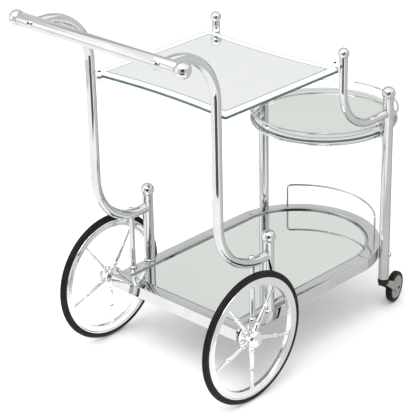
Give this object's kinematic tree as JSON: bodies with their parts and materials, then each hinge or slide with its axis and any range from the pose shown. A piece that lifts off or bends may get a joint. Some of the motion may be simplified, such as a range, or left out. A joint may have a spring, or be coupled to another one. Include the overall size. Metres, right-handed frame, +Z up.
{
  "type": "bar cart",
  "caption": "Chromed tubular bar cart with a square upper mirror shelf, a round mirror shelf, a D-shaped lower shelf, large spoked wheels and small casters.",
  "frame": {"origin": "on the floor, at the middle of the bounding box in X and Y", "axes": "+X from the handle towards the casters, +Y to the left of the person pushing, +Z up"},
  "size_m": [0.9016, 0.515, 0.8457],
  "materials": {
    "chrome": "polished",
    "wheel_chrome": "polished casting",
    "mirror_glass": "polished, green-tinted edge",
    "tyre_rubber": "matte",
    "black_plastic": "satin",
    "zinc_plate": "satin zinc plate"
  },
  "bodies": {
    "frame": {"brace_nut_left": "chrome", "brace_nut_right": "chrome", "brace_rod_left": "chrome", "brace_rod_right": "chrome", "caster_socket_left": "black_plastic", "caster_socket_right": "black_plastic", "front_post_ball_left": "chrome", "front_post_ball_right": "chrome", "front_post_bolt_left": "chrome", "front_post_bolt_right": "chrome", "front_post_left": "chrome", "front_post_right": "chrome", "handle_ball_left": "chrome", "handle_ball_right": "chrome", "handle_bar": "chrome", "handle_screw_left": "chrome", "handle_screw_right": "chrome", "hook_tube_ball_left": "chrome", "hook_tube_ball_right": "chrome", "hook_tube_left": "chrome", "hook_tube_right": "chrome", "lower_gallery_rail": "chrome", "lower_rail_front": "chrome", "lower_rail_left": "chrome", "lower_rail_right": "chrome", "lower_shelf_mirror": "mirror_glass", "rear_axle_beam": "chrome", "rear_post_ball_left": "chrome", "rear_post_ball_right": "chrome", "rear_post_left": "chrome", "rear_post_right": "chrome", "round_base_ring": "chrome", "round_clamp_left": "chrome", "round_clamp_left_screw": "black_plastic", "round_clamp_right": "chrome", "round_clamp_right_screw": "black_plastic", "round_gallery_ring": "chrome", "round_shelf_mirror": "mirror_glass", "side_tube_left": "chrome", "side_tube_right": "chrome", "top_clamp_front_left": "chrome", "top_clamp_front_left_screw": "black_plastic", "top_clamp_front_right": "chrome", "top_clamp_front_right_screw": "black_plastic", "top_clamp_rear_left": "chrome", "top_clamp_rear_left_screw": "black_plastic", "top_clamp_rear_right": "chrome", "top_clamp_rear_right_screw": "black_plastic", "top_shelf_mirror": "mirror_glass", "wheel_axle": "chrome"},
    "wheel_left": {"wheel_cap_left": "chrome", "wheel_casting_left": "wheel_chrome", "wheel_tyre_left": "tyre_rubber"},
    "wheel_right": {"wheel_cap_right": "chrome", "wheel_casting_right": "wheel_chrome", "wheel_tyre_right": "tyre_rubber"},
    "swivel_left": {"caster_fork_left": "zinc_plate"},
    "swivel_right": {"caster_fork_right": "zinc_plate"},
    "roller_left": {"caster_wheel_left": "tyre_rubber"},
    "roller_right": {"caster_wheel_right": "tyre_rubber"}
  },
  "joints": [
    {"name": "wheel_spin_left", "type": "hinge", "parent": "frame", "child": "wheel_left", "pos_m": [-0.2262, 0.2215, 0.1525], "axis": [0, 1, 0], "continuous": true},
    {"name": "caster_swivel_left", "type": "hinge", "parent": "frame", "child": "swivel_left", "pos_m": [0.2743, 0.1895, 0.08], "axis": [0, 0, 1], "continuous": true},
    {"name": "caster_spin_left", "type": "hinge", "parent": "swivel_left", "child": "roller_left", "pos_m": [0.34013, 0.17247, 0.038], "axis": [0.2504, 0.9681, 0], "continuous": true},
    {"name": "wheel_spin_right", "type": "hinge", "parent": "frame", "child": "wheel_right", "pos_m": [-0.2262, -0.2215, 0.1525], "axis": [0, 1, 0], "continuous": true},
    {"name": "caster_swivel_right", "type": "hinge", "parent": "frame", "child": "swivel_right", "pos_m": [0.2743, -0.1895, 0.08], "axis": [0, 0, 1], "continuous": true},
    {"name": "caster_spin_right", "type": "hinge", "parent": "swivel_right", "child": "roller_right", "pos_m": [0.34013, -0.17247, 0.038], "axis": [-0.2504, 0.9681, 0], "continuous": true}
  ]
}
